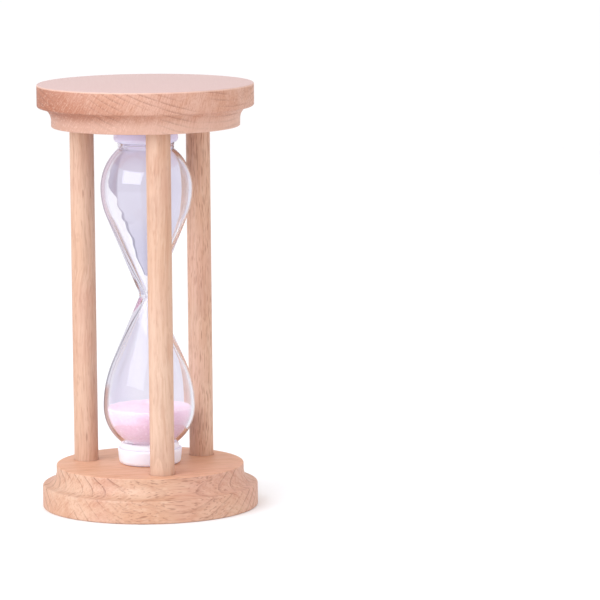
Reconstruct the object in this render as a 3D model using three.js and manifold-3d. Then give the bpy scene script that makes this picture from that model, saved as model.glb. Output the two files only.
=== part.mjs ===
// Hourglass: a clear glass vial with two pear-shaped bulbs stands between two turned
// wooden discs. Three dowels join the discs, a soft white seat holds each end of the
// vial with a bead of glue round its mouth, a stopper closes the filling mouth and sand
// lies in the lower bulb.
// Millimetres, +Z up, origin at the centre of the underside, front post towards -Y.

import * as THREE from "three";
import { mergeVertices } from "three/addons/utils/BufferGeometryUtils.js";
import Module from "manifold-3d";

// ---------------------------------------------------------------- driving dimensions

const frame = {
  height: 145.6, // underside of the base disc to the top of the top disc
  postCircle: 23.4, // radius of the circle through the three post axes
  postCount: 3,
};

const disc = {
  radius: 37,
  thickness: 14.6,
  rim: 7.9, // height of the full-width rim
  faceRound: 0.4, // rounding where the rim meets the flat outer face
  lip: 0.8, // rounding where the rim turns into the cove
  stepInset: 4.8, // how far the narrow band stands in from the rim
  stepHeight: 2.3, // height of the narrow band next to the posts
  stepRound: 0.3,
};

const post = {
  radius: 4.15,
  tenon: 9, // depth of the blind hole that takes each end
  chamfer: 0.6,
};

const seat = {
  height: 5.4,
  wall: 1.75, // around the glass, at the mouth that takes it
  footInset: 0.4, // how much narrower the cup is at the disc, before its rounding
  footRound: 1.3,
  rimRound: 0.4,
  upperRimRound: 1.4, // the upper cup is softer where it meets the glass
  floor: 1.5,
};

const glass = {
  wall: 1.2,
  neck: 3, // outer radius at the waist
  neckFillet: 3,
  orifice: 0.7, // radius of the passage that meters the sand
  orificeFillet: 6,
  belly: 15.75, // largest outer radius of both bulbs
  stub: 9.2, // outer radius of the short tube at each end
  stubRound: 0.5,
  toeRound: 3, // inside the lower stub, which is melted shut
};

// Each bulb is blown to its own shape: where its widest circle lies, measured from
// the waist, and the radii of the arcs below and above that circle.
const upperBulb = { equator: 36.9, bellyArc: 25.5, shoulderArc: 18 };
const lowerBulb = { equator: 38.5, bellyArc: 40, shoulderArc: 15.4 };

const sand = {
  depth: 16.6, // from the bottom of the bulb's inside to the sand's edge
  dish: 0.4, // how far the middle of its surface lies under its edge
};

const stopper = {
  length: 3.5,
  taper: 0.3, // how much smaller the inner end's radius is
};

// Glue squeezed out of a seat, in the corner under the bulb's shoulder.
const bead = {
  climb: 0.6, // how far its tip reaches out along the shoulder, past the stub
  foot: 1.35, // its width on the seat's rim
};

const glueLine = 0.1; // gap filled with glue between pieces that are stuck together
const sandGap = 0.1; // gap between the sand and the glass

// Facets round each kind of piece. Pieces that fit in one another share a number,
// so that their facets line up.
const facets = { disc: 64, vial: 40, post: 24 };

// ---------------------------------------------------------------- derived places

const waist = frame.height / 2;
const baseTop = disc.thickness;
const topUnderside = frame.height - disc.thickness;
const seatRecess = glass.stub + glueLine;
const stubEnd = waist - baseTop - seat.floor - 2 * glueLine; // from the waist
const postEnd = waist - baseTop + post.tenon - glueLine; // from the waist
const seatRim = waist - baseTop - glueLine - seat.height; // from the waist

// ---------------------------------------------------------------- outlines
// An outline is a list of [radius, height] points, with the axis at radius 0.

function arc([r, z], radius, from, to, steps, radiusZ = radius) {
  return Array.from({ length: steps + 1 }, (_, i) => {
    const t = from + ((to - from) * i) / steps;
    return [r + radius * Math.cos(t), z + radiusZ * Math.sin(t)];
  });
}

function upsideDown(outline) {
  return outline.map(([r, z]) => [r, -z]).reverse();
}

function lifted(outline, height) {
  return outline.map(([r, z]) => [r, z + height]);
}

function turned(outline, segments) {
  const points = outline.map(([r, z]) => new THREE.Vector2(Math.max(r, 0), z));
  return new THREE.LatheGeometry(points, segments).rotateX(Math.PI / 2);
}

// ---------------------------------------------------------------- joining and cutting

const wasm = await Module();
wasm.setup();

function solidOf(geometry) {
  const bare = geometry.clone();
  bare.deleteAttribute("normal");
  bare.deleteAttribute("uv");
  const merged = mergeVertices(bare);
  return new wasm.Manifold(
    new wasm.Mesh({
      numProp: 3,
      vertProperties: merged.getAttribute("position").array,
      triVerts: new Uint32Array(merged.index.array),
    }),
  );
}

function geometryOf(solid) {
  const { vertProperties, triVerts } = solid.getMesh();
  const geometry = new THREE.BufferGeometry();
  geometry.setAttribute("position", new THREE.BufferAttribute(vertProperties, 3));
  geometry.setIndex(new THREE.BufferAttribute(triVerts, 1));
  geometry.computeVertexNormals();
  return geometry;
}

// ---------------------------------------------------------------- wooden frame

function postPlaces() {
  return Array.from({ length: frame.postCount }, (_, i) => {
    const angle = -Math.PI / 2 + (2 * Math.PI * i) / frame.postCount;
    return [frame.postCircle * Math.cos(angle), frame.postCircle * Math.sin(angle)];
  });
}

// Half outline of a disc lying on its wide face: rim, cove, narrow band.
function discOutline() {
  const { radius, thickness, rim, faceRound, lip, stepInset, stepHeight, stepRound } = disc;
  const step = radius - stepInset;
  const bandStart = thickness - stepHeight;
  return [
    [0, 0],
    ...arc([radius - faceRound, faceRound], faceRound, -Math.PI / 2, 0, 2),
    ...arc([radius - lip, rim - lip], lip, 0, Math.PI / 2, 3),
    ...arc([radius - lip, bandStart], lip - stepInset, Math.PI / 2, 0, 5, rim - bandStart).slice(1),
    ...arc([step - stepRound, thickness - stepRound], stepRound, 0, Math.PI / 2, 1),
    [0, thickness],
  ];
}

// The blind holes run from the given height to beyond the disc's inner face.
function drilled(discGeometry, from, to) {
  const hole = [
    [0, from],
    [post.radius + glueLine, from],
    [post.radius + glueLine, to],
    [0, to],
  ];
  let solid = solidOf(discGeometry);
  for (const [x, y] of postPlaces()) {
    const drill = turned(hole, facets.post).translate(x, y, 0);
    solid = solid.subtract(solidOf(drill));
  }
  return geometryOf(solid);
}

function baseDisc() {
  const blank = turned(discOutline(), facets.disc);
  return drilled(blank, baseTop - post.tenon, baseTop + post.tenon);
}

function topDisc() {
  const blank = turned(lifted(upsideDown(discOutline()), frame.height), facets.disc);
  return drilled(blank, topUnderside - post.tenon, topUnderside + post.tenon);
}

function dowel() {
  const { radius, chamfer } = post;
  const upperHalf = [
    [radius, postEnd - chamfer],
    [radius - chamfer, postEnd],
    [0, postEnd],
  ];
  return turned([...upsideDown(upperHalf), ...upperHalf], facets.post);
}

// ---------------------------------------------------------------- glass vial
// Heights in this section are measured from the waist.

// Wall of a bulb from the waist to the radius `end`: a fillet at the neck, a straight
// cone that touches both arcs, the belly arc and the shoulder arc. `skin` is 0 on the
// outside and the wall's thickness on the inside.
function bulbWall(bulb, neck, neckFillet, skin, end, steps) {
  const belly = glass.belly - skin;
  const bellyArc = bulb.bellyArc - skin;
  const shoulderArc = bulb.shoulderArc - skin;
  const across = belly - bellyArc - neck - neckFillet;
  const apart = Math.hypot(across, bulb.equator);
  const slope = Math.atan2(across, bulb.equator) + Math.asin((bellyArc + neckFillet) / apart);
  const shoulderCentre = belly - shoulderArc;
  const shoulderEnd = Math.acos((end - shoulderCentre) / shoulderArc);
  return [
    ...arc([neck + neckFillet, 0], neckFillet, Math.PI, Math.PI - slope, steps.neck),
    ...arc([belly - bellyArc, bulb.equator], bellyArc, -slope, 0, steps.belly),
    ...arc([shoulderCentre, bulb.equator], shoulderArc, 0, shoulderEnd, steps.shoulder).slice(1),
  ];
}

function outerWall(bulb) {
  const steps = { neck: 2, belly: 4, shoulder: 6 };
  return bulbWall(bulb, glass.neck, glass.neckFillet, 0, glass.stub, steps);
}

function innerWall(bulb, end, gap = 0) {
  const steps = { neck: 3, belly: 4, shoulder: 6 };
  const skin = glass.wall + gap;
  return bulbWall(bulb, glass.orifice, glass.orificeFillet, skin, end, steps);
}

// Inside of the lower bulb, down into its stub and round the melted end.
function lowerCavity(gap = 0) {
  const { stub, wall, toeRound } = glass;
  const radius = stub - wall - gap;
  const bottom = stubEnd - wall - gap;
  const toe = arc([radius - toeRound, bottom - toeRound], toeRound, 0, Math.PI / 2, 3);
  return [...innerWall(lowerBulb, radius, gap), ...toe, [0, bottom]];
}

// The upper stub is the open filling mouth and the lower one is melted shut.
function vial() {
  const { stub, stubRound, wall } = glass;
  const roundedEnd = arc([stub - stubRound, stubEnd - stubRound], stubRound, 0, Math.PI / 2, 2);
  const mouth = [stub - wall, stubEnd];
  const outerUpper = outerWall(upperBulb).slice(1);
  const outerLower = [...outerWall(lowerBulb), ...roundedEnd, [0, stubEnd]];
  const innerUpper = innerWall(upperBulb, stub - wall).slice(1);
  const outside = [...upsideDown(outerLower), ...outerUpper, ...roundedEnd];
  const inside = [...upsideDown(lowerCavity()), ...innerUpper, mouth];
  return turned([...outside, ...inside.reverse()], facets.vial);
}

function fillStopper() {
  const radius = glass.stub - glass.wall - glueLine;
  const outline = [
    [0, stubEnd - stopper.length],
    [radius - stopper.taper, stubEnd - stopper.length],
    [radius, stubEnd - stopper.length / 2],
    [radius, stubEnd],
    [0, stubEnd],
  ];
  return turned(outline, facets.vial);
}

// The sand follows the inside of the lower bulb up to its level.
function sandBody() {
  const wall = lowerCavity(sandGap);
  const level = wall.at(-1)[1] - sand.depth;
  const below = wall.filter(([, z]) => z > level);
  const edge = wall[wall.length - below.length - 1];
  const share = (below[0][1] - level) / (below[0][1] - edge[1]);
  const shore = [below[0][0] + (edge[0] - below[0][0]) * share, level];
  return turned(upsideDown([[0, level + sand.dish], shore, ...below]), facets.vial);
}

// ---------------------------------------------------------------- seats

// A cup that stands on its foot at height 0 and opens upwards.
function seatOutline(rimRound) {
  const { height, wall, footInset, footRound, floor } = seat;
  const rimRadius = seatRecess + wall;
  const footRadius = rimRadius - footInset;
  return [
    [0, 0],
    ...arc([footRadius - footRound, footRound], footRound, -Math.PI / 2, 0, 3),
    ...arc([rimRadius - rimRound, height - rimRound], rimRound, 0, Math.PI / 2, 2),
    [seatRecess, height],
    [seatRecess, floor],
    [0, floor],
  ];
}

function lowerSeat() {
  return turned(lifted(seatOutline(seat.rimRound), baseTop + glueLine), facets.vial);
}

function upperSeat() {
  const outline = upsideDown(seatOutline(seat.upperRimRound));
  return turned(lifted(outline, topUnderside - glueLine), facets.vial);
}

// Section of a bead, measured from the waist. It touches the shoulder, the stub and the
// seat's rim, and its outer side is hollow. A lathe needs its points in that order reversed.
function beadOutline(bulb) {
  const inner = glass.stub + glueLine;
  const tip = inner + bead.climb;
  const foot = inner + bead.foot;
  const rim = seatRim - glueLine;
  const shoulderArc = bulb.shoulderArc + glueLine;
  const centre = glass.belly - bulb.shoulderArc;
  const angleAt = (radius) => Math.acos((radius - centre) / shoulderArc);
  const shoulder = arc([centre, bulb.equator], shoulderArc, angleAt(tip), angleAt(inner), 2);
  const tipHeight = shoulder[0][1];
  const hollow = arc([foot, tipHeight], tip - foot, Math.PI / 2, 0, 3, rim - tipHeight);
  return [...shoulder, [inner, rim], ...hollow].reverse();
}

// ---------------------------------------------------------------- materials

function material(color, roughness, extra = {}) {
  return new THREE.MeshStandardMaterial({ color, roughness, metalness: 0, ...extra });
}

const beech = () => material(0xe6b392, 0.6);
const palerBeech = () => material(0xedc3a5, 0.62);
const clearGlass = () => material(0xe4e2ee, 0.04, { transparent: true, opacity: 0.35 });
const whiteSilicone = () => material(0xf2eef5, 0.55);
const clearGlue = () => material(0xece9f1, 0.3);
const pinkSand = () => material(0xf4d3e2, 0.95);

// ---------------------------------------------------------------- assembly

const hourglass = new THREE.Group();

function place(name, geometry, finish, x = 0, y = 0, z = 0) {
  const mesh = new THREE.Mesh(geometry, finish);
  mesh.name = name;
  mesh.position.set(x, y, z);
  hourglass.add(mesh);
}

place("base_disc", baseDisc(), beech());
place("top_disc", topDisc(), beech());

const postNames = ["front_post", "right_post", "left_post"];
postPlaces().forEach(([x, y], i) => {
  place(postNames[i] ?? `post_${i + 1}`, dowel(), palerBeech(), x, y, waist);
});

place("lower_seat", lowerSeat(), whiteSilicone());
place("upper_seat", upperSeat(), whiteSilicone());
place("lower_glue", turned(upsideDown(beadOutline(lowerBulb)), facets.vial), clearGlue(), 0, 0, waist);
place("upper_glue", turned(beadOutline(upperBulb), facets.vial), clearGlue(), 0, 0, waist);
place("glass_vial", vial(), clearGlass(), 0, 0, waist);
place("fill_stopper", fillStopper(), whiteSilicone(), 0, 0, waist);
place("sand", sandBody(), pinkSand(), 0, 0, waist);

export default hourglass;
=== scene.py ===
# %% [markdown]
# # An hourglass in beech and blown glass
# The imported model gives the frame: two turned discs, three dowels, a glass vial, two soft
# cups, two rings of glue, a stopper and the sand. This notebook remodels all of them but
# the hidden stopper, with a fine surface at the place where the frame holds them, and
# gives each one its finish.

# %% Load the frame
import math

import bpy
from mathutils import Matrix, Vector


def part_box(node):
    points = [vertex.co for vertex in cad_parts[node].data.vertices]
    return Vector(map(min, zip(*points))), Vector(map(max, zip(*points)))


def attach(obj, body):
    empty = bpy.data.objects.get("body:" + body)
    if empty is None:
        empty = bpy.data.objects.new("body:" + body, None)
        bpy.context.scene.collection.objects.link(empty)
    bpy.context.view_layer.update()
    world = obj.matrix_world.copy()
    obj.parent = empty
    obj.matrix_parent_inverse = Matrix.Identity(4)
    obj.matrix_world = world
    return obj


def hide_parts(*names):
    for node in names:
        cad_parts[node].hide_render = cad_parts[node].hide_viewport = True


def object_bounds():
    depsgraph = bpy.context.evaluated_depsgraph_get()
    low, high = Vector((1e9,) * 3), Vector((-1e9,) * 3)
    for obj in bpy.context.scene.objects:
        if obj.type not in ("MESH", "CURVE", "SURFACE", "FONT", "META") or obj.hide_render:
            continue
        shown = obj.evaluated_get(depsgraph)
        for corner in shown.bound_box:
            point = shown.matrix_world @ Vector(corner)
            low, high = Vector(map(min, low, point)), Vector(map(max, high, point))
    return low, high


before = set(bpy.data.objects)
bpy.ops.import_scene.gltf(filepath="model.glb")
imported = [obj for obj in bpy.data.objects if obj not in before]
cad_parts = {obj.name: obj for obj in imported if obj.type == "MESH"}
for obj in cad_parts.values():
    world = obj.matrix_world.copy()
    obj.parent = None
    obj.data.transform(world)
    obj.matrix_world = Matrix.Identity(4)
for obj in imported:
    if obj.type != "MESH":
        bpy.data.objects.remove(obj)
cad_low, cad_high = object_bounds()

print("nodes:", ", ".join(sorted(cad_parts)))

# %% [markdown]
# ## Measures
# Places come from the boxes of the frame's nodes. The few sizes that a box can't tell,
# such as where a cove starts, are named here in millimetres and turned into metres.

# %% Places from the frame
MM = 0.001
PI = math.pi


def node_radius(name):
    """Radius of a round node that stands on the Z axis."""
    low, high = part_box(name)
    return (high.x - low.x) / 2


disc_radius = node_radius("base_disc")
base_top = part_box("base_disc")[1].z
top_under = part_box("top_disc")[0].z
full_height = cad_high[2]
waist = full_height / 2
stub_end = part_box("glass_vial")[1].z - waist
print(f"discs {disc_radius / MM:.1f} mm in radius, {full_height / MM:.1f} mm tall")

# %% [markdown]
# ## Camera
# The hourglass is seen from a little above and a little to the left of its front post,
# through a long lens, so that its upright lines stay almost parallel. The camera could
# be moved by hand until the view is right, but numbers can be set again at any time, so
# it is placed by its distance, its height and four small turns.

# %% Camera
SENSOR = 36.0
camera_turn = math.radians(10.1)
camera_distance = 1437.84 * MM
camera_height = 271.18 * MM
aim_right = math.radians(2.075)
aim_down = math.radians(7.946)
camera_roll = math.radians(-0.474)
focal_length = 254.1

camera_data = bpy.data.cameras.new("camera")
camera_data.sensor_width = SENSOR
camera_data.lens = focal_length
camera = bpy.data.objects.new("camera", camera_data)
bpy.context.scene.collection.objects.link(camera)
camera.matrix_world = (
    Matrix.Rotation(-camera_turn, 4, "Z")
    @ Matrix.Translation((0, -camera_distance, camera_height))
    @ Matrix.Rotation(-aim_right, 4, "Z")
    @ Matrix.Rotation(PI / 2 - aim_down, 4, "X")
    @ Matrix.Rotation(camera_roll, 4, "Z")
)
bpy.context.scene.camera = camera
print("camera at", [round(v, 3) for v in camera.matrix_world.translation])

# %% [markdown]
# ## Shader sums
# A finish is a sum of patterns. Writing those sums as node links by hand is hard to
# read, so one small class wraps a socket and lets Python's own operators add the Math
# nodes. Colours are mixed, never added up, because a Math node would turn them grey.

# %% A value that can be reckoned with


class Value:
    """One number, vector or colour in a finish."""

    def __init__(self, finish, socket):
        self.finish = finish
        self.socket = socket

    def sum(self, operation, first, second=None):
        sockets = {0: first} if second is None else {0: first, 1: second}
        return self.finish.node("ShaderNodeMath", sockets, operation=operation)

    def __add__(self, other):
        return self.sum("ADD", self, other)

    __radd__ = __add__

    def __sub__(self, other):
        return self.sum("SUBTRACT", self, other)

    def __rsub__(self, other):
        return self.sum("SUBTRACT", other, self)

    def __mul__(self, other):
        return self.sum("MULTIPLY", self, other)

    __rmul__ = __mul__

    def __truediv__(self, other):
        return self.sum("DIVIDE", self, other)

    def __pow__(self, other):
        return self.sum("POWER", self, other)

    def __gt__(self, other):
        return self.sum("GREATER_THAN", self, other)

    def fraction(self):
        return self.sum("FRACT", self)

    def fade(self, low, high):
        """0 below low, 1 above high and a smooth step between them."""
        settings = {"interpolation_type": "SMOOTHSTEP"}
        sockets = {"Value": self, "From Min": low, "From Max": high}
        return self.finish.node("ShaderNodeMapRange", sockets, **settings)


print("sums ready")

# %% A finish


def paint(red, green, blue):
    """A colour given as a screen shows it, turned into linear light."""
    levels = [c / 255 for c in (red, green, blue)]
    return (*[c / 12.92 if c < 0.04045 else ((c + 0.055) / 1.055) ** 2.4 for c in levels], 1)


class Finish:
    """A material whose nodes are added one by one."""

    def __init__(self, name):
        self.material = bpy.data.materials.new(name)
        self.material.use_nodes = True
        self.tree = self.material.node_tree
        self.tree.nodes.clear()

    def node(self, kind, sockets, out=0, **settings):
        """Adds a node: its settings first, then its sockets, and gives one output."""
        made = self.tree.nodes.new(kind)
        for key, setting in settings.items():
            setattr(made, key, setting)
        for key, given in sockets.items():
            socket = made.inputs[key]
            if isinstance(given, Value):
                self.tree.links.new(given.socket, socket)
            else:
                socket.default_value = given
        return Value(self, made.outputs[out]) if len(made.outputs) else None

    def place(self):
        return self.node("ShaderNodeTexCoord", {}, out="Object")

    def mix(self, share, first, second):
        """The first colour where share is 0 and the second where it is 1."""
        sockets = {0: share, 6: first, 7: second}
        return self.node("ShaderNodeMix", sockets, out=2, data_type="RGBA")

    def noise(self, place, scale, detail=2.0, roughness=0.5):
        sockets = {"Vector": place, "Scale": scale, "Detail": detail, "Roughness": roughness}
        return self.node("ShaderNodeTexNoise", sockets)

    def bump(self, height, distance, strength):
        sockets = {"Height": height, "Distance": distance, "Strength": strength}
        return self.node("ShaderNodeBump", sockets)

    def surface(self, inside=None, **sockets):
        """Ends the finish in a Principled surface. Sockets have their own names, with _ for a space."""
        named = {key.replace("_", " "): given for key, given in sockets.items()}
        shader = self.node("ShaderNodeBsdfPrincipled", named)
        ends = {"Surface": shader}
        if inside is not None:
            ends["Volume"] = inside
        self.node("ShaderNodeOutputMaterial", ends)
        return self.material


print("mid grey in linear light:", round(paint(128, 128, 128)[0], 3))

# %% [markdown]
# ## Beech
# Beech is pale, pinkish and fine. Three things make it look like beech: growth rings
# that are only a little darker at their outer edge, short brown flecks where the rays
# of the wood meet the surface, and a faint streak along the grain. A flat pattern bent
# round a turned disc would show a seam and would never turn into end grain, so the wood
# is solid here: every pattern is worked out around the heart of the tree, a line beside
# the piece. The same sum then gives stripes on the top, flecks on the side and arcs on
# the end grain.

# %% Places inside the wood


class Beech(Finish):
    """Solid beech, measured along the grain, outwards from the heart and round the heart.

    grain is the direction of growth and heart a point on the tree's axis. The shades go
    from pale over warm, rosy and brown to the dark of the flecks.
    """

    def __init__(self, name, grain, heart, shades, seed):
        super().__init__(name)
        self.pale, self.warm, self.rosy, self.brown, self.dark = shades
        self.seed = seed
        self.spot = self.place()
        along_way = Vector(grain).normalized()
        side_way = along_way.orthogonal().normalized()
        if abs(along_way.z) < 0.9:
            side_way = Vector((0, 0, 1)).cross(along_way).normalized()
        up_way = along_way.cross(side_way).normalized()
        self.along = self.measured(along_way, heart)
        side = self.measured(side_way, heart)
        up = self.measured(up_way, heart)

        # Slow waves bend the rings, so that none is a true circle.
        waves = self.noise(self.spot, 45.0, 3.0) - 0.5
        drift = self.noise(self.spot, 16.0, 1.0) - 0.5
        self.reach = (side * side + up * up) ** 0.5 + waves * (2.6 * MM) + drift * (8 * MM)
        turn = self.node("ShaderNodeMath", {0: up, 1: side}, operation="ARCTAN2")
        self.around = turn * Vector(heart).length + waves * (1.2 * MM)

        # The end grain shows where the surface faces along the grain.
        facing = self.node("ShaderNodeNewGeometry", {}, out="Normal")
        endways = self.dot(facing, along_way)
        self.end_grain = self.node("ShaderNodeMath", {0: endways}, operation="ABSOLUTE").fade(0.3, 0.75)
        self.long_side = 1 - self.end_grain

    def dot(self, vector, way):
        sockets = {0: vector, 1: tuple(way)}
        return self.node("ShaderNodeVectorMath", sockets, out="Value", operation="DOT_PRODUCT")

    def measured(self, way, heart):
        """How far a point lies from the heart along a direction."""
        return self.dot(self.spot, way) - Vector(heart).dot(way)

    def stretched(self, length, depth, width, shift=0.0):
        """Place in the wood, in units of a cell of the given size."""
        sockets = {
            "X": self.along / length + (self.seed + shift),
            "Y": self.reach / depth,
            "Z": self.around / width,
        }
        return self.node("ShaderNodeCombineXYZ", sockets)

    def spindles(self, length, depth, width, share, thin, thick):
        """Slim marks, one in each cell. share is the part of the cells that has one."""
        sockets = {"Vector": self.stretched(length, depth, width), "Scale": 1.0, "Randomness": 1.0}
        distance = self.node("ShaderNodeTexVoronoi", sockets, out="Distance")
        number = self.node("ShaderNodeTexVoronoi", sockets, out="Color")
        chosen = self.node("ShaderNodeSeparateColor", {"Color": number}, out=0)
        strength = self.node("ShaderNodeSeparateColor", {"Color": number}, out=1)
        mark = (1 - distance.fade(thin, thick)) * (1 - chosen.fade(share, share + 0.05))
        return mark * (strength * 0.6 + 0.4)


print("wood is measured along the grain, outwards and around the heart")

# %% Ground colour


def ground(wood, dark_zone):
    """Pale and warm clouds with a rosy blush, browner over dark_zone's distances from the heart."""
    cloud = wood.noise(wood.stretched(55 * MM, 9 * MM, 9 * MM), 1.0, 2.0)
    blush = wood.noise(wood.spot, 30.0, 2.0)
    colour = wood.mix(cloud.fade(0.32, 0.68), wood.pale, wood.warm)
    colour = wood.mix(blush.fade(0.42, 0.7) * 0.7, colour, wood.rosy)
    if dark_zone:
        colour = wood.mix(wood.reach.fade(*dark_zone), colour, wood.brown)
    return colour


print("ground colour ready")

# %% Growth rings


def with_rings(wood, colour, gap, soft, sharp):
    """A slow rise in colour, then a sharp dark edge. Some years are hardly seen."""
    year = (wood.reach / gap + wood.seed).fraction()
    late_wood = year.fade(0.55, 0.97) * (1 - year.fade(0.97, 1.0))
    edge = year.fade(0.84, 0.95) * (1 - year.fade(0.96, 1.0))
    strength = wood.noise(wood.spot, 75.0, 2.0).fade(0.35, 0.65)
    colour = wood.mix(late_wood * strength * soft * 0.55, colour, wood.dark)
    crispness = wood.end_grain * 0.85 + 0.15
    colour = wood.mix(edge * strength * crispness * sharp, colour, wood.dark)
    return colour, late_wood


print("rings ready")

# %% Open pores


def with_pores(wood, colour, dashes):
    """Short pale and dark dashes along the grain, where a pore is cut open."""
    dark_dash = wood.noise(wood.stretched(5 * MM, 0.48 * MM, 0.48 * MM, 9.0), 1.0, 1.0).fade(0.56, 0.7)
    pale_dash = wood.noise(wood.stretched(9 * MM, 0.8 * MM, 0.8 * MM, 23.0), 1.0, 1.0).fade(0.55, 0.7)
    colour = wood.mix(pale_dash * 0.45, colour, wood.pale)
    colour = wood.mix(dark_dash * (wood.long_side * 0.75 + 0.25) * dashes, colour, wood.dark)
    return colour, dark_dash


print("pores ready")

# %% Rays


def with_rays(wood, colour, flecks):
    """Thin sheets that run from the heart outwards.

    They are short dark flecks on the long sides and fine strokes on the end grain.
    """
    ray = wood.spindles(6.5 * MM, 10 * MM, 0.8 * MM, flecks, 0.14, 0.32)
    small_ray = wood.spindles(3.8 * MM, 4 * MM, 0.54 * MM, 0.8, 0.14, 0.34)
    stroke = wood.noise(wood.stretched(4 * MM, 6 * MM, 0.55 * MM, 5.0), 1.0, 2.0, 0.6)
    colour = wood.mix(small_ray * wood.long_side * (0.14 + 0.4 * flecks), colour, wood.dark)
    colour = wood.mix(ray * wood.long_side * 0.55, colour, wood.dark)
    colour = wood.mix(stroke.fade(0.52, 0.66) * wood.end_grain * 0.36, colour, wood.pale)
    colour = wood.mix((1 - stroke.fade(0.32, 0.44)) * wood.end_grain * 0.5, colour, wood.brown)
    return colour, ray


print("rays ready")

# %% Beech, planed and lacquered


def beech(name, grain, heart, shades, ring_gap, rings, flecks, dashes, dark_zone=None, seed=0.0):
    """One plank. rings are the strengths of the late wood and of its dark edge, flecks the
    part of the cells with a ray, and dashes how dark the open pores are.
    """
    wood = Beech(name, grain, heart, shades, seed)
    fibre = wood.noise(wood.stretched(22 * MM, 0.8 * MM, 0.8 * MM), 1.0, 3.0, 0.65)
    colour = wood.mix(fibre.fade(0.4, 0.75) * 0.45, ground(wood, dark_zone), wood.brown)
    colour, late_wood = with_rings(wood, colour, ring_gap, *rings)
    colour, dash = with_pores(wood, colour, dashes)
    colour, ray = with_rays(wood, colour, flecks)
    wood.height = fibre * 0.4 - ray * 0.8 - dash * 0.4 - late_wood * 0.2
    wood.dullness = 0.46 + fibre * 0.16 + ray * 0.1
    return wood, colour


def lacquered(wood, colour):
    """Ends the beech in a thin satin lacquer that sinks into its pores."""
    relief = wood.bump(wood.height, 0.06 * MM, 0.6)
    return wood.surface(Base_Color=colour, Roughness=wood.dullness, Normal=relief, IOR=1.45)


def toned(shades, red, green, blue):
    """The same shades, each a little deeper or lighter."""
    return [(r * red, g * green, b * blue, 1) for r, g, b, _ in shades]


def height_in(wood):
    """Height of a point above the underside of the base."""
    return wood.node("ShaderNodeSeparateXYZ", {"Vector": wood.place()}, out="Z")


print("beech ready")

# %% [markdown]
# ## Three kinds of plank
# The discs and the dowels come from different planks, and no two of them have the same
# colour. One finish for all would look moulded. So each piece gets its own heart of the
# tree, its own shades and its own amount of flecks. The discs lie flat in the plank,
# with the grain across, and the dowels stand with the grain upright. The left and front
# dowels are painted deeper all over: painted shade. Some colour on the discs is painted
# light, mixed in by height: a paler edge and band on the top disc, a pinker face on it
# for a sheen, and warmer light on the base's inner face for light bounced off the wood.

# %% Shades, from pale to the dark of the flecks
base_shades = (
    paint(219, 180, 153),
    paint(208, 161, 131),
    paint(208, 156, 138),
    paint(186, 126, 97),
    paint(138, 84, 62),
)
top_shades = (
    paint(208, 164, 144),
    paint(198, 147, 121),
    paint(197, 142, 126),
    paint(162, 98, 70),
    paint(126, 76, 56),
)
dowel_shades = (
    paint(217, 181, 158),
    paint(208, 164, 137),
    paint(204, 157, 137),
    paint(184, 128, 100),
    paint(144, 90, 66),
)
print("shades of a plank:", len(base_shades))

# %% Beech of the base disc
base_wood, base_colour = beech(
    "base_beech",
    grain=(1, 0.06, 0.02),
    heart=(0, 45 * MM, -55 * MM),
    shades=toned(base_shades, 0.96, 0.955, 0.97),
    ring_gap=3.1 * MM,
    rings=(0.4, 0.85),
    flecks=0.2,
    dashes=0.5,
)
# Painted light: the base's inner face is mixed towards warm orange, standing for light bounced off the
# wood around it.
painted_bounce_share = (height_in(base_wood) - (base_top - 0.3 * MM)).fade(0, 0.25 * MM)
base_colour = base_wood.mix(painted_bounce_share * 0.42, base_colour, paint(231, 163, 123))
base_beech = lacquered(base_wood, base_colour)
print("base: rings", 3.1, "mm apart")

# %% Beech of the top disc
top_wood, top_colour = beech(
    "top_beech",
    grain=(0.18, 1, 0.03),
    heart=(44 * MM, 0, full_height + 104 * MM),
    shades=top_shades,
    ring_gap=2.1 * MM,
    rings=(0.85, 0.2),
    flecks=0.3,
    dashes=0.3,
    dark_zone=(112 * MM, 138 * MM),
    seed=3.4,
)
up_in_top = height_in(top_wood)
# Painted light on the top disc: its rounded top edge is lightened as a painted highlight, and the band
# under the cove as painted fill light where the rim's shadow falls.
painted_highlight_edge = (up_in_top - (full_height - 0.75 * MM)).fade(0, 0.4 * MM)
painted_fill_band = 1 - (up_in_top - top_under).fade(2.2 * MM, 6 * MM)
painted_sheen_face = (up_in_top - (full_height - 0.3 * MM)).fade(0, 0.25 * MM)
painted_light_tint = paint(232, 196, 178)
top_colour = top_wood.mix(painted_highlight_edge * 0.6, top_colour, painted_light_tint)
top_colour = top_wood.mix(painted_fill_band * 0.4, top_colour, painted_light_tint)
# Painted reflection: the top face is mixed towards a pale pink, a sheen of the pale room seen at a low
# angle.
top_colour = top_wood.mix(painted_sheen_face * 0.85, top_colour, paint(207, 177, 174))
top_beech = lacquered(top_wood, top_colour)
print("top: rings", 2.1, "mm apart, browner on one side")

# %% Beech of the dowels
post_names = ("front_post", "right_post", "left_post")
post_flecks = {"front_post": 0.07, "right_post": 0.6, "left_post": 0.1}
post_dashes = {"front_post": 0.1, "right_post": 0.4, "left_post": 0.18}
post_hearts = {
    "front_post": (40 * MM, 30 * MM, 0),
    "right_post": (30 * MM, 75 * MM, 0),
    "left_post": (-70 * MM, 40 * MM, 0),
}
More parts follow.
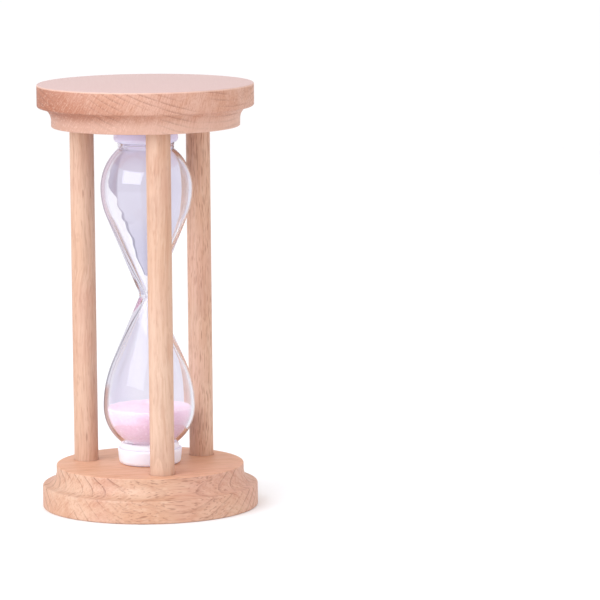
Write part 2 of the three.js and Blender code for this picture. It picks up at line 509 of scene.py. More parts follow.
# Painted shade: the left and front dowels get deeper, warmer copies of the shades, for the weaker light
# that reaches their shaded sides.
post_shades = {
    "front_post": toned(dowel_shades, 0.95, 0.95, 0.94),
    "right_post": dowel_shades,
    "left_post": toned(dowel_shades, 0.95, 0.93, 0.91),
}
post_beech = {}
for i, post in enumerate(post_names):
    stick = beech(
        f"{post}_beech",
        grain=(0.012, 0, 1),
        heart=post_hearts[post],
        shades=post_shades[post],
        ring_gap=3.1 * MM,
        rings=(0.35, 0.1),
        flecks=post_flecks[post],
        dashes=post_dashes[post],
        seed=7.7 * i,
    )
    post_beech[post] = lacquered(*stick)
print("beech for", 2 + len(post_beech), "pieces")

# %% [markdown]
# ## The lathe
# Nearly every piece of an hourglass is turned or blown, so it is round about one axis.
# The half outline is drawn as a chain of edges, one extrusion after another, and then
# spun round the axis. Points that meet on the axis are merged, and the faces are turned
# to point outwards.

# %% Outline helpers


def arc(centre, radius, start, end, steps, radius_z=None):
    """Points of a round arc, or of an oval one, as pairs of radius and height."""
    across, up = centre
    radius_z = radius if radius_z is None else radius_z
    angles = [start + (end - start) * i / steps for i in range(steps + 1)]
    return [(across + radius * math.cos(a), up + radius_z * math.sin(a)) for a in angles]


def upside_down(outline):
    return [(across, -up) for across, up in reversed(outline)]


def lifted(outline, height):
    return [(across, up + height) for across, up in outline]


def filled_in(outline, longest):
    """The outline with extra points, so that no edge is longer than the given length."""
    points = [outline[0]]
    for start, end in zip(outline, outline[1:]):
        length = math.dist(start, end)
        parts = max(1, math.ceil(length / longest))
        for i in range(1, parts + 1):
            share = i / parts
            points.append(tuple(a + (b - a) * share for a, b in zip(start, end)))
    return points


print("outline helpers ready")

# %% Spin an outline into a piece


def deselect_all():
    if bpy.context.object and bpy.context.object.mode != "OBJECT":
        bpy.ops.object.mode_set(mode="OBJECT")
    bpy.ops.object.select_all(action="DESELECT")


def turned(name, outline, steps=128, closed=False):
    """A piece that is round about the Z axis."""
    deselect_all()
    bpy.ops.mesh.primitive_circle_add(vertices=3, radius=MM)
    piece = bpy.context.object
    piece.name = name
    piece.data.name = name
    bpy.ops.object.mode_set(mode="EDIT")
    bpy.ops.mesh.select_all(action="SELECT")
    bpy.ops.mesh.merge(type="CENTER")
    bpy.ops.transform.translate(value=(outline[0][0], 0, outline[0][1]))
    path = [*outline, outline[0]] if closed else outline
    for start, end in zip(path, path[1:]):
        step = (end[0] - start[0], 0, end[1] - start[1])
        bpy.ops.mesh.extrude_vertices_move(TRANSFORM_OT_translate={"value": step})
    bpy.ops.mesh.select_all(action="SELECT")
    bpy.ops.mesh.spin(steps=steps, angle=math.tau, center=(0, 0, 0), axis=(0, 0, 1))
    bpy.ops.mesh.select_all(action="SELECT")
    bpy.ops.mesh.remove_doubles(threshold=0.002 * MM)
    bpy.ops.mesh.normals_make_consistent(inside=False)
    bpy.ops.object.mode_set(mode="OBJECT")
    return piece


def finished(piece, node, material, smooth_angle=35):
    """Smooths a piece, gives it its finish and lets it stand for a node of the frame."""
    deselect_all()
    piece.select_set(True)
    bpy.context.view_layer.objects.active = piece
    bpy.ops.object.shade_smooth_by_angle(angle=math.radians(smooth_angle))
    piece.data.materials.clear()
    piece.data.materials.append(material)
    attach(piece, "root")
    if node:
        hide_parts(node)
    print(f"{piece.name}: {len(piece.data.polygons)} faces")
    return piece


print("lathe ready")

# %% [markdown]
# ## Discs
# Each disc is turned from a beech blank: a flat face, a wide rim with softened edges, a
# cove and a narrow band. The top disc is the same outline upside down. The dowels stand
# in blind holes. A drill bit is turned like any other piece, with a small flare that
# breaks the edge of the hole, and a Boolean modifier cuts it out of the disc three times.

# %% Disc outline
rim_height = 7.9 * MM
face_round = 0.5 * MM
lip = 0.8 * MM
step_inset = 4.8 * MM
step_height = 2.3 * MM
step_round = 0.4 * MM


def disc_outline():
    step = disc_radius - step_inset
    band_start = base_top - step_height
    cove_width = step_inset - lip
    cove_depth = band_start - rim_height
    return [
        (0, 0),
        *arc((disc_radius - face_round, face_round), face_round, -PI / 2, 0, 6),
        *arc((disc_radius - lip, rim_height - lip), lip, 0, PI / 2, 8),
        *arc((disc_radius - lip, band_start), -cove_width, PI / 2, 0, 20, -cove_depth)[1:],
        *arc((step - step_round, base_top - step_round), step_round, 0, PI / 2, 5),
        (0, base_top),
    ]


print("disc outline:", len(disc_outline()), "points")

# %% Drill the blind holes
post_radius = node_radius("front_post")
hole_play = 0.1 * MM
edge_break = 0.22 * MM
tenon_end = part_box("front_post")[0].z - hole_play


def post_place(post):
    low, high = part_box(post)
    return Vector(((low.x + high.x) / 2, (low.y + high.y) / 2, 0))


def drill_outline():
    """A bit that points down into the base disc, from 1 mm above its inner face."""
    bore = post_radius + hole_play
    return [
        (0, tenon_end),
        (bore, tenon_end),
        (bore, base_top - edge_break),
        (bore + edge_break, base_top),
        (bore + edge_break, base_top + MM),
        (0, base_top + MM),
    ]


def drilled(disc, outline):
    for post in post_names:
        bit = turned("drill_bit", outline, steps=64)
        bpy.ops.object.mode_set(mode="EDIT")
        bpy.ops.mesh.select_all(action="SELECT")
        bpy.ops.transform.translate(value=post_place(post))
        bpy.ops.object.mode_set(mode="OBJECT")
        deselect_all()
        disc.select_set(True)
        bpy.context.view_layer.objects.active = disc
        cut = disc.modifiers.new("hole", "BOOLEAN")
        cut.operation = "DIFFERENCE"
        cut.object = bit
        bpy.ops.object.modifier_apply(modifier=cut.name)
        bpy.data.objects.remove(bit)
    return disc


print(f"blind holes {(base_top - tenon_end) / MM:.1f} mm deep")

# %% Turn and drill both discs
base = drilled(turned("turned_base", disc_outline(), 192), drill_outline())
finished(base, "base_disc", base_beech)
top_outline = lifted(upside_down(disc_outline()), full_height)
top_drill = lifted(upside_down(drill_outline()), full_height)
top = drilled(turned("turned_top", top_outline, 192), top_drill)
finished(top, "top_disc", top_beech)

# %% [markdown]
# ## Dowels
# A dowel is planed round by a cutter and sawn to length, so it is a true cylinder with
# its ends broken. One is turned at the origin and copied to each hole. Each copy keeps
# its own mesh, and the solid wood shows a different stretch of grain in each.

# %% Turn one dowel and copy it
post_low, post_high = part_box("front_post")
chamfer = 0.6 * MM


def dowel_outline():
    ends = (post_radius, post_low.z + chamfer), (post_radius, post_high.z - chamfer)
    straight = filled_in(ends, 10 * MM)
    return [
        (0, post_low.z),
        (post_radius - chamfer, post_low.z),
        *straight,
        (post_radius - chamfer, post_high.z),
        (0, post_high.z),
    ]


pattern_dowel = turned("pattern_dowel", dowel_outline(), 64)
for post in post_names:
    dowel = pattern_dowel.copy()
    dowel.data = pattern_dowel.data.copy()
    dowel.name = f"{post}_dowel"
    bpy.context.scene.collection.objects.link(dowel)
    dowel.data.transform(Matrix.Translation(post_place(post)))
    finished(dowel, post, post_beech[post])
bpy.data.objects.remove(pattern_dowel)

# %% [markdown]
# ## Silicone
# The vial isn't glued to bare wood. Each end stands in a soft white cup, moulded in
# silicone. Silicone is milky: light goes a few millimetres in and comes out again, so
# its shadows are never dark. A plain white surface would look like painted plaster, so
# light may wander under the surface here. A slight glow of its own is painted light that
# lifts the cups where they lie in shade. The upper cup sits in the shade of the disc, and
# its colour is painted greyer and darker for that shade.

# %% Silicone of the two cups


def silicone(name, light, shade, glow):
    soft = Finish(name)
    place = soft.place()
    cloud = soft.noise(place, 120.0, 2.0)
    grain = soft.noise(place, 1800.0, 2.0)
    colour = soft.mix(cloud.fade(0.3, 0.7), light, shade)
    return soft.surface(
        Base_Color=colour,
        Roughness=0.42 + grain * 0.12,
        Normal=soft.bump(grain, 0.02 * MM, 0.35),
        IOR=1.41,
        Subsurface_Weight=1.0,
        Subsurface_Radius=(1.0, 1.0, 1.0),
        Subsurface_Scale=3 * MM,
        # Emission: painted light, a faint glow that lifts the cups where they lie in shade.
        Emission_Color=paint(228, 222, 255),
        Emission_Strength=glow,
    )


white_silicone = silicone("white_silicone", paint(241, 239, 255), paint(233, 231, 254), 0.06)
# The upper cup's tints are painted shade: greyer and darker for the shadow of the disc above.
shade_painted_silicone = silicone("shade_painted_silicone", paint(224, 217, 244), paint(215, 208, 239), 0.01)
print("silicone:", white_silicone.name, "and", shade_painted_silicone.name)

# %% [markdown]
# ## Cups
# A cup is a low ring with a floor. Its corner towards the wood is well rounded, as is
# the rim of the upper one. It is turned like the rest, and a Displace modifier with a
# slow cloud gives it the slight unevenness of a soft moulding. A bevelled cylinder
# would be quicker, but its edges would be too even.

# %% Outline of a cup
seat_low, seat_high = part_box("lower_seat")
seat_height = seat_high.z - seat_low.z
rim_radius = node_radius("lower_seat")
foot_radius = rim_radius - 0.4 * MM
foot_round = 1.3 * MM
lower_rim_round = 0.5 * MM
upper_rim_round = 1.5 * MM
seat_floor = 1.5 * MM
stub_radius = 9.2 * MM
glue_line = 0.1 * MM


def seat_outline(rim_round):
    recess = stub_radius + glue_line
    outline = [
        (0, 0),
        *arc((foot_radius - foot_round, foot_round), foot_round, -PI / 2, 0, 12),
        *arc((rim_radius - rim_round, seat_height - rim_round), rim_round, 0, PI / 2, 8),
        (recess, seat_height),
        (recess, seat_floor),
        (0, seat_floor),
    ]
    return filled_in(outline, 0.8 * MM)


print(f"cups {2 * rim_radius / MM:.1f} mm across and {seat_height / MM:.1f} mm tall")

# %% Turn both cups
cup_cloud = 4 * MM
cup_unevenness = 0.12 * MM


def roughened(piece, size, strength, direction="NORMAL", group=""):
    """Moves the surface by a slow cloud of the given size."""
    cloud = bpy.data.textures.new(f"{piece.name}_cloud", "CLOUDS")
    cloud.noise_scale = size
    deselect_all()
    piece.select_set(True)
    bpy.context.view_layer.objects.active = piece
    uneven = piece.modifiers.new("uneven", "DISPLACE")
    uneven.texture = cloud
    uneven.texture_coords = "GLOBAL"
    uneven.strength = strength
    uneven.direction = direction
    uneven.mid_level = 0.5
    if group:
        uneven.vertex_group = group
    bpy.ops.object.modifier_apply(modifier=uneven.name)
    bpy.data.textures.remove(cloud)
    return piece


lower_cup = turned("lower_cup", lifted(seat_outline(lower_rim_round), seat_low.z), 96)
roughened(lower_cup, cup_cloud, cup_unevenness)
finished(lower_cup, "lower_seat", white_silicone, 50)
upper_cup_outline = lifted(upside_down(seat_outline(upper_rim_round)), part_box("upper_seat")[1].z)
upper_cup = turned("upper_cup", upper_cup_outline, 96)
roughened(upper_cup, cup_cloud, cup_unevenness)
finished(upper_cup, "upper_seat", shade_painted_silicone, 50)

# %% [markdown]
# ## Glass vial
# The vial is one blown piece: two pear shapes that share a narrow waist. Each wall runs
# from a fillet at the waist up a straight cone, over a belly arc and a shoulder arc into
# the short stub that stands in the seat. The inside follows the same rule, a wall's
# thickness further in. The lower end is melted shut and the upper one is open, so the
# whole vial is a single closed surface, which is what refraction needs.

# %% Bulb walls
GLASS_WALL = 1.2 * MM
neck_radius = 3.0 * MM
neck_fillet = 3.0 * MM
orifice_radius = 0.7 * MM
orifice_fillet = 6.0 * MM
belly_radius = node_radius("glass_vial")
stub_round = 0.5 * MM
toe_round = 3.0 * MM
upper_bulb = {"equator": 36.9 * MM, "belly_arc": 25.5 * MM, "shoulder_arc": 18.0 * MM}
lower_bulb = {"equator": 38.5 * MM, "belly_arc": 40.0 * MM, "shoulder_arc": 15.4 * MM}


def bulb_wall(bulb, neck, fillet, skin, end):
    """Points of one wall from the waist to the radius end, skin inside the outer face."""
    belly = belly_radius - skin
    belly_arc = bulb["belly_arc"] - skin
    shoulder_arc = bulb["shoulder_arc"] - skin
    equator = bulb["equator"]
    across = belly - belly_arc - neck - fillet
    apart = math.hypot(across, equator)
    slope = math.atan2(across, equator) + math.asin((belly_arc + fillet) / apart)
    centre = belly - shoulder_arc
    last = math.acos((end - centre) / shoulder_arc)
    return [
        *arc((neck + fillet, 0), fillet, PI, PI - slope, 10),
        *arc((belly - belly_arc, equator), belly_arc, -slope, 0, 20),
        *arc((centre, equator), shoulder_arc, 0, last, 26)[1:],
    ]


def outer_wall(bulb):
    return bulb_wall(bulb, neck_radius, neck_fillet, 0, stub_radius)


def inner_wall(bulb, end, gap=0.0):
    return bulb_wall(bulb, orifice_radius, orifice_fillet, GLASS_WALL + gap, end)


def lower_cavity(gap=0.0):
    """Inside of the lower bulb, down into its stub and round the melted end."""
    radius = stub_radius - GLASS_WALL - gap
    bottom = stub_end - GLASS_WALL - gap
    toe = arc((radius - toe_round, bottom - toe_round), toe_round, 0, PI / 2, 12)
    return [*inner_wall(lower_bulb, radius, gap), *toe, (0, bottom)]


def vial_outline():
    rounded = arc((stub_radius - stub_round, stub_end - stub_round), stub_round, 0, PI / 2, 5)
    outer_low = [*outer_wall(lower_bulb), *rounded, (0, stub_end)]
    outside = [*upside_down(outer_low), *outer_wall(upper_bulb)[1:], *rounded]
    inner_high = inner_wall(upper_bulb, stub_radius - GLASS_WALL)[1:]
    mouth = (stub_radius - GLASS_WALL, stub_end)
    inside = [*upside_down(lower_cavity()), *inner_high, mouth]
    return filled_in([*outside, *reversed(inside)], 1.5 * MM)


print("vial outline:", len(vial_outline()), "points")

# %% [markdown]
# ## Clear glass
# The vial is plain soda glass, a little grey where a sight line runs long inside the
# wall. A see-through surface without bending would be quicker, but it would lose the
# bright and dark lines that make glass look like glass. So light is bent here, and a
# thin grey volume darkens it. In the narrow waist, light can be mirrored inside the wall
# until it is lost, which would leave a black spot. Light that was mirrored more than
# twice goes straight on. The vial throws no shadow, because real glass passes the lamp's
# light on to the sand.

# %% Finish of the glass
GLASS_IOR = 1.5
most_mirrorings = 2


def clear_glass():
    glass = Finish("clear_glass")
    place = glass.place()
    ripple = glass.noise(place, 90.0, 1.0)
    grey = {"Color": (0.5, 0.48, 0.6, 1), "Density": 45.0}
    caught = glass.node("ShaderNodeLightPath", {}, out="Glossy Depth") > most_mirrorings + 0.5
    return glass.surface(
        inside=glass.node("ShaderNodeVolumeAbsorption", grey),
        Base_Color=paint(252, 251, 254),
        Roughness=0.0,
        IOR=GLASS_IOR,
        Transmission_Weight=1.0,
        Alpha=1 - caught,
        Normal=glass.bump(ripple, 0.4 * MM, 0.25),
    )


print("glass bends light by", GLASS_IOR)

# %% Blow the vial
vial = turned("blown_vial", lifted(vial_outline(), waist), 160)
finished(vial, "glass_vial", clear_glass(), 50)
vial.visible_shadow = False

# %% [markdown]
# ## Glue
# The vial is glued into its cups, and a little glue comes out under the shoulder of each
# bulb. It follows the glass on its inside, so its section is worked out from the wall of
# the bulb. The lower bead ran down before it set and is hollow on its outer side. Both
# let light through: the lower one is thick and milky, the upper one thin and clear. Their
# finish bends light only slightly, because glue hardly shows a face where it meets glass.

# %% Glue finish


def glue_finish(name, clearness, roughness, glow):
    glue = Finish(name)
    cloud = glue.noise(glue.place(), 260.0, 2.0)
    colour = glue.mix(cloud.fade(0.3, 0.7), paint(254, 251, 255), paint(246, 243, 253))
    return glue.surface(
        Base_Color=colour,
        Roughness=roughness,
        Normal=glue.bump(cloud, 0.15 * MM, 0.4),
        IOR=1.12,
        Transmission_Weight=clearness,
        Subsurface_Weight=1.0,
        Subsurface_Radius=(1.0, 1.0, 1.0),
        Subsurface_Scale=2 * MM,
        # Emission: painted light, a faint glow that keeps the milky bead pale in its shade.
        Emission_Color=paint(255, 236, 246),
        Emission_Strength=glow,
    )


milky_glue = glue_finish("milky_glue", 0.25, 0.25, 0.12)
clear_glue = glue_finish("clear_glue", 0.95, 0.1, 0.0)
print("glue:", milky_glue.name, "and", clear_glue.name)

# %% Squeeze out both beads
touch = 0.02 * MM


def bead_outline(bulb, climb, foot):
    """Section of a bead: its tip on the shoulder, down the stub and out along the cup's rim."""
    inner = stub_radius + touch
    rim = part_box("upper_seat")[0].z - waist - touch
    shoulder_arc = bulb["shoulder_arc"] + touch
    centre = belly_radius - bulb["shoulder_arc"]
    start, end = (math.acos((r - centre) / shoulder_arc) for r in (inner + climb, inner))
    shoulder = arc((centre, bulb["equator"]), shoulder_arc, start, end, 6)
    tip_height = shoulder[0][1]
    hollow = arc((inner + foot, tip_height), climb - foot, PI / 2, 0, 10, rim - tip_height)
    return [*shoulder, (inner, rim), *hollow[:-1]]


lower_section = lifted(upside_down(bead_outline(lower_bulb, 0.6 * MM, 1.35 * MM)), waist)
lower_bead = turned("lower_bead", lower_section, 96, closed=True)
finished(lower_bead, "lower_glue", milky_glue, 40)
upper_section = lifted(bead_outline(upper_bulb, 0.3 * MM, 0.7 * MM), waist)
upper_bead = turned("upper_bead", upper_section, 96, closed=True)
finished(upper_bead, "upper_glue", clear_glue, 40)

# %% [markdown]
# ## Stopper
# The upper end is filled with sand through its open stub, and then a plug closes it. It
# can't be seen under the cup, but it is there, and it keeps the frame's own shape. Only
# its finish changes.

# %% Stopper
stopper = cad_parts["fill_stopper"]
stopper.data.materials.clear()
stopper.data.materials.append(white_silicone.copy())
print("stopper keeps", len(stopper.data.polygons), "faces")

# %% [markdown]
# ## Sand
# The sand is fine quartz, dyed pink. At this size a grain is a third of a millimetre, so
# the heap is one body with the shape of the bulb, its top slightly uneven, and the
# grains are made in the finish: small cells, each with its own tint and its own height.
# Hundreds of thousands of real grains would look no better and weigh far too much. Light
# wanders between the grains, and the heap also has a faint pink glow of its own: painted
# light that brightens it all over, most of all where it lies in shade.

# %% Pink sand
grain_cells = 3200.0


def pink_sand():
    sand = Finish("pink_sand")
    grain_sockets = {"Vector": sand.place(), "Scale": grain_cells, "Randomness": 1.0}
    shape = sand.node("ShaderNodeTexVoronoi", grain_sockets, out="Distance")
    number = sand.node("ShaderNodeTexVoronoi", grain_sockets, out="Color")
    tint = sand.node("ShaderNodeSeparateColor", {"Color": number}, out=0)
    colour = sand.mix(tint.fade(0.1, 0.9), paint(190, 160, 173), paint(201, 177, 188))
    colour = sand.mix((tint > 0.93) * 0.25, colour, paint(255, 250, 252))
    colour = sand.mix((0.05 - tint).fade(0.0, 0.03) * 0.35, colour, paint(214, 150, 176))
    return sand.surface(
        Base_Color=colour,
        Roughness=0.9,
        Normal=sand.bump(1 - shape, 0.12 * MM, 0.4),
        Subsurface_Weight=1.0,
        Subsurface_Radius=(1.0, 0.7, 0.85),
        Subsurface_Scale=12 * MM,
        # Emission: painted light, a faint pink glow that brightens the whole heap, most of all where it
        # lies in shade.
        Emission_Color=paint(252, 217, 234),
        Emission_Strength=0.32,
    )


print("grains in a row of 10 mm:", round(0.01 * grain_cells))

# %% Fill the lower bulb
sand_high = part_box("sand")[1]
sand_gap = 0.1 * MM
sand_dish = 0.4 * MM


def sand_outline():
    """From the middle of the sand's surface over its shore and down the glass to the bottom."""
    level = waist - sand_high.z
    wall = lower_cavity(sand_gap)
    below = [point for point in wall if point[1] > level]
    above = wall[len(wall) - len(below) - 1]
    share = (below[0][1] - level) / (below[0][1] - above[1])
    shore = (below[0][0] + (above[0] - below[0][0]) * share, level)
    surface = filled_in([(0, level + sand_dish), shore], 0.6 * MM)
    return lifted(upside_down([*surface, *below]), waist)


def top_faces(piece, level):
    group = piece.vertex_groups.new(name="surface")
    chosen = [v.index for v in piece.data.vertices if v.co.z > level]
    group.add(chosen, 1.0, "REPLACE")
    return group.name


heap = turned("sand_heap", sand_outline(), 128)
sand_top = top_faces(heap, sand_high.z - sand_dish - 0.05 * MM)
roughened(heap, 5 * MM, 0.7 * MM, "Z", sand_top)
finished(heap, "sand", pink_sand(), 60)

# %% [markdown]
# ## Room
# A studio shot of glass and pale wood needs little: a white sweep under the hourglass, a
# pale room all round and one large soft lamp high on the left. Three or four small lamps
# would throw as many shadows. The large lamp gives one soft shade on each dowel and one
# clear mirror image in each bulb. The floor is a plain disc, since nothing of it is seen
# but its brightness.

# %% Floor
floor_radius = 1.2


def floor_finish():
    sweep = Finish("white_sweep")
    speckle = sweep.noise(sweep.place(), 40.0, 2.0)
    colour = sweep.mix(speckle, paint(248, 248, 249), paint(252, 252, 252))
    return sweep.surface(Base_Color=colour, Roughness=0.8)


deselect_all()
below = (0, 0, -0.05 * MM)
bpy.ops.mesh.primitive_circle_add(vertices=96, radius=floor_radius, fill_type="NGON", location=below)
floor = bpy.context.object
floor.name = "floor"
floor.data.materials.append(floor_finish())
print("floor", 2 * floor_radius, "m across")

# %% Room light
world = bpy.data.worlds.new("pale_room")
bpy.context.scene.world = world
world.use_nodes = True
room = world.node_tree.nodes["Background"]
room.inputs["Color"].default_value = (1.0, 0.99, 1.0, 1)
room.inputs["Strength"].default_value = 1.02
bpy.context.scene.view_settings.view_transform = "Standard"
print("room light", room.inputs["Strength"].default_value)

# %% Soft lamp
lamp_place = Vector((-0.88, -0.7, 0.8))
lamp_width = 1.3
lamp_height = 0.95

lamp = bpy.data.lights.new("key_lamp", "AREA")
lamp.shape = "RECTANGLE"
lamp.size = lamp_width
lamp.size_y = lamp_height
lamp.energy = 10.3
lamp.color = (0.92, 1.0, 1.08)
key_lamp = bpy.data.objects.new("key_lamp", lamp)
bpy.context.scene.collection.objects.link(key_lamp)
lamp_way = Vector((0, 0, waist)) - lamp_place
lamp_turn = lamp_way.to_track_quat("-Z", "Y").to_matrix().to_4x4()
key_lamp.matrix_world = Matrix.Translation(lamp_place) @ lamp_turn
print("lamp", round(lamp_way.length, 2), "m from the waist")

# %% [markdown]
# ## Sheets for the glass
# Clear glass has no look of its own: it shows only what it bends and what it reflects.
# In a white room it would vanish. In a studio, coloured card is hung behind glass and
# striped cloth beside it, just out of view, and the same is done here. Each sheet shines
# by itself with its own colour, and its ray visibility lets it be seen only through the
# glass, or only as a mirror image in it. So it lights nothing, throws no shadow and
# can't be seen beside the glass. Painting such stripes onto the glass would be easier,
# but they would turn with it, as no reflection does.

# %% Sheet helpers
RAY_KINDS = ("camera", "diffuse", "glossy", "transmission", "shadow", "volume_scatter")


def only_seen_by(sheet, *kinds):
    for kind in RAY_KINDS:
        setattr(sheet, f"visible_{kind}", kind in kinds)


def flat_sheet(name, corners, finish, *kinds):
    deselect_all()
    bpy.ops.mesh.primitive_circle_add(vertices=len(corners), radius=MM, fill_type="NGON")
    made = bpy.context.object
    made.name = name
    for vertex, corner in zip(made.data.vertices, corners):
        vertex.co = corner
    made.data.materials.append(finish)
    only_seen_by(made, *kinds)
    print(f"{name}: {len(corners)} corners, seen by {' and '.join(kinds)} rays")


def behind(across, up, back):
    """Place on a plane behind the vial that the camera sees in line with a point of its axis plane."""
    away = 1 + back / camera_distance
    seen = Vector((across * away, back, camera_height + (up - camera_height) * away))
    return Matrix.Rotation(-camera_turn, 3, "Z") @ seen


def sheet_behind(name, outline, back, finish):
    """A flat upright sheet behind the vial, given by its outline as the camera sees it."""
    corners = [behind(across, up, back) for across, up in outline]
    flat_sheet(name, corners, finish, "transmission")


# %% Finish helpers of the sheets
to_the_right = (math.cos(camera_turn), -math.sin(camera_turn), 0)
upwards = (0, 0, 1)


def along(lit, way):
    """How far a point of a lit sheet lies along a direction."""
    sockets = {0: lit.place(), 1: way}
    return lit.node("ShaderNodeVectorMath", sockets, out="Value", operation="DOT_PRODUCT")


def above_waist(lit):
    return along(lit, upwards) - waist


def shining(lit, colour, strength=1.0):
    shader = lit.node("ShaderNodeEmission", {"Color": colour, "Strength": strength})
    lit.node("ShaderNodeOutputMaterial", {"Surface": shader})
    return lit.material


print("the camera's right is", [round(share, 2) for share in to_the_right])

# %% Where the glass bends a sight line
def turned_by_surface(across, radius):
    """Angle by which a round glass surface turns a line that passes this far from its axis."""
    sine = across / radius
    return math.asin(sine) - math.asin(sine / GLASS_IOR)


def bent(radius, across, back):
    """Where a sight line that meets a bulb this far from its axis lands on a sheet behind it.

    A hollow bulb bends light outwards, once at each of its four surfaces.
    """
    inner_turn = turned_by_surface(across, radius - GLASS_WALL)
    outer_turn = turned_by_surface(across, radius)
    return across + back * math.tan(2 * (inner_turn - outer_turn))


sheet_back = 38 * MM
shift = bent(belly_radius, belly_radius / 2, sheet_back) - belly_radius / 2
print(f"half-way out on the belly a line lands {shift / MM:.1f} mm further out")

# %% [markdown]
# ## Backdrop of the bulbs
# Through the upper bulb a lavender card is seen, with a wavy left edge and a thin darker
# line along it. Because the glass bends the view, the card is cut along an edge that is
# worked out backwards: each point that should be seen is sent through the glass first.
# The line is a second card, cut a little wider and hung a millimetre behind. Through the
# lower bulb a paler card is seen, all the way across.

# %% Finishes of the three cards


def lavender():
    """Darker on the left and towards the top."""
    lit = Finish("lavender")
    height = above_waist(lit)
    across = along(lit, to_the_right)
    colour = lit.mix(height.fade(8 * MM, 24 * MM), paint(210, 208, 228), paint(226, 222, 236))
    colour = lit.mix(height.fade(38 * MM, 48 * MM), colour, paint(213, 202, 219))
    shade = (1 - across.fade(-13.2 * MM, -12 * MM)) * height.fade(20 * MM, 32 * MM)
    return shining(lit, lit.mix(shade, colour, paint(188, 178, 197)))


def shade_line():
    lit = Finish("shade_line")
    rise = above_waist(lit).fade(5 * MM, 30 * MM)
    return shining(lit, lit.mix(rise, paint(150, 148, 172), paint(196, 188, 206)))


def pale():
    lit = Finish("pale")
    to_right = along(lit, to_the_right).fade(-14 * MM, -2 * MM)
    return shining(lit, lit.mix(to_right, paint(228, 225, 240), paint(244, 242, 250)))


print("three card finishes ready")

# %% Left edge of the cards
cards_start = 4.5 * MM


def step_between(value, low, high):
    """0 below low, 1 above high and a smooth step between them."""
    share = min(max((value - low) / (high - low), 0), 1)
    return share * share * (3 - 2 * share)


def card_edge(widen):
    """Left edge of a card behind the upper bulb, from the neck to the shoulder.

    The card is seen some way inside the bulb's outline: furthest inside under the belly
    and nearest at the shoulder. Two waves make the edge uneven, and widen moves its lower
    part outwards.
    """
    wall = filled_in(outer_wall(upper_bulb), 0.8 * MM)
    edge = []
    for radius, up in wall:
        if up < cards_start:
            continue
        waves = 0.6 * MM * math.sin(up / (1.9 * MM)) + 0.45 * MM * math.sin(up / (0.83 * MM))
        border = widen * (1 - step_between(up, 24 * MM, 34 * MM))
        inset = 3.6 + 1.9 * step_between(up, 10 * MM, 21 * MM)
        inset -= 3.0 * step_between(up, 33 * MM, 38 * MM)
        inset -= 1.0 * step_between(up, 44 * MM, 50 * MM)
        seen = min(max(radius - inset * MM, 0), radius - 1.3 * MM)
        edge.append((waves - border - bent(radius, seen, sheet_back), waist + up))
    return edge


print("edge of the cards:", len(card_edge(0)), "points")

# %% Hang the three cards
far_right = 60 * MM
over_top = 150 * MM
line_width = 1.6 * MM
rest_of_card = [(-12 * MM, over_top), (far_right, over_top), (far_right, waist + 4 * MM)]
low_card = [(-far_right, 5 * MM), (-far_right, waist), (far_right, waist), (far_right, 5 * MM)]
sheet_behind("lavender_sheet", [*card_edge(0), *rest_of_card], sheet_back, lavender())
sheet_behind("shade_sheet", [*card_edge(line_width), *rest_of_card], sheet_back + MM, shade_line())
sheet_behind("pale_sheet", low_card, sheet_back, pale())

# %% [markdown]
# ## Curtain beside the vial
# Near its outline the glass shows what stands far to its side, squeezed into a thin
# band. A light cloth is bent round the left of the vial, a little outside its outline,
# with one grey stripe in it. The wall of the vial shows the stripe as two thin lines,
# and they draw the outline of the bulbs on the white ground.

# %% Cloth with a stripe


def curtain():
    lit = Finish("curtain")
    cloth = lit.node("ShaderNodeTexCoord", {}, out="UV")
    back = lit.node("ShaderNodeSeparateXYZ", {"Vector": cloth}, out="Y")
    height = above_waist(lit)
    tint = lit.mix(height.fade(14 * MM, 32 * MM), paint(236, 232, 241), paint(230, 213, 223))
    tint = lit.mix((0 - height).fade(29 * MM, 33 * MM), tint, paint(216, 182, 174))
    colour = lit.mix(back.fade(0.5, 0.6), tint, paint(246, 243, 251))
    stripe = back.fade(0.27, 0.33) * (1 - back.fade(0.42, 0.5))
    strength = 0.95 - height.fade(16 * MM, 32 * MM) * 0.35
    return shining(lit, lit.mix(stripe * strength, colour, paint(100, 98, 110)))


print("cloth ready")

# %% Hang the curtain
curtain_out = 1.057
curtain_front = 0.25
curtain_back = 0.9


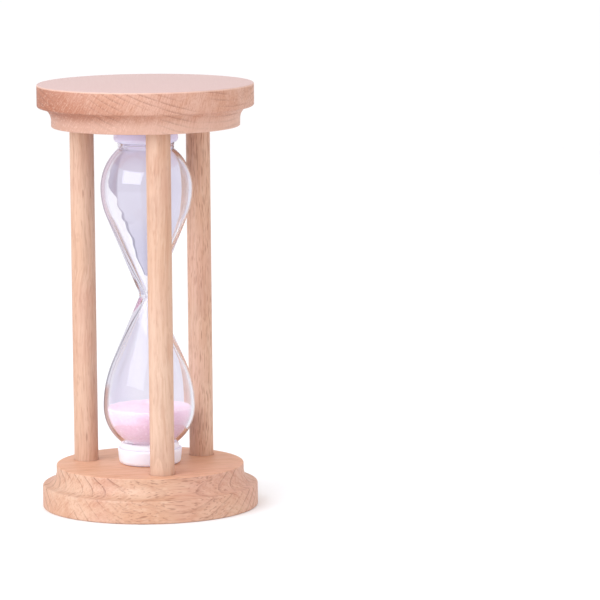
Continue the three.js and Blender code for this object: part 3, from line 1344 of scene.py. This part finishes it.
def hung_curtain():
    """Two rows of points that follow the vial's outline, in parts of its radius."""
    low = [(radius, -up) for radius, up in reversed(outer_wall(lower_bulb))]
    wall = filled_in([*low, *outer_wall(upper_bulb)[1:]], 2 * MM)
    deselect_all()
    bpy.ops.mesh.primitive_grid_add(x_subdivisions=len(wall) - 1, y_subdivisions=1, size=MM)
    made = bpy.context.object
    made.name = "curtain"
    for i, vertex in enumerate(made.data.vertices):
        radius, up = wall[i % len(wall)]
        back = -curtain_front * radius if i < len(wall) else curtain_back * radius
        vertex.co = behind(-curtain_out * radius, waist + up, back)
    made.data.materials.append(curtain())
    only_seen_by(made, "transmission", "glossy")
    return made


print("curtain:", len(hung_curtain().data.polygons), "faces")

# %% [markdown]
# ## Window and strip
# The mirror image of the lamp is what makes glass look wet and round, but the lamp
# itself is too weak for a clear one. A brighter lamp would bleach the wood, so a window
# of the lamp's own size hangs in front of it that only mirror images show. On the lower
# bulb the image should be soft, so a strip that fades to its sides stands in front of
# that bulb and hides the hard one.

# %% Window in front of the lamp
window_gap = 0.02
window_corners = [
    key_lamp.matrix_world @ Vector((x * lamp_width / 2, y * lamp_height / 2, -window_gap))
    for x, y in ((-1, -1), (1, -1), (1, 1), (-1, 1))
]
window_finish = shining(Finish("window"), (0.97, 0.97, 1.0, 1), 4.6)
flat_sheet("window_sheet", window_corners, window_finish, "glossy")

# %% Strip in front of the lower bulb
strip_turn = math.radians(-141.5)
strip_distance = 30 * MM
strip_half = 34 * MM
strip_low = 16 * MM
strip_high = 80 * MM
strip_middle = Vector((math.cos(strip_turn), math.sin(strip_turn), 0)) * strip_distance
strip_way = Vector((-math.sin(strip_turn), math.cos(strip_turn), 0))


def strip():
    """A soft upright strip, half as bright at its sides."""
    lit = Finish("strip")
    off_middle = lit.node("ShaderNodeMath", {0: along(lit, tuple(strip_way))}, operation="ABSOLUTE")
    share = 1 - off_middle.fade(4 * MM, 20 * MM)
    return shining(lit, lit.mix(share, (0.46, 0.46, 0.46, 1), (1, 1, 1, 1)), 2.2)


strip_corners = [
    strip_middle + strip_way * across + Vector((0, 0, up))
    for across, up in (
        (-strip_half, strip_low),
        (strip_half, strip_low),
        (strip_half, strip_high),
        (-strip_half, strip_high),
    )
]
flat_sheet("strip_sheet", strip_corners, strip(), "glossy")
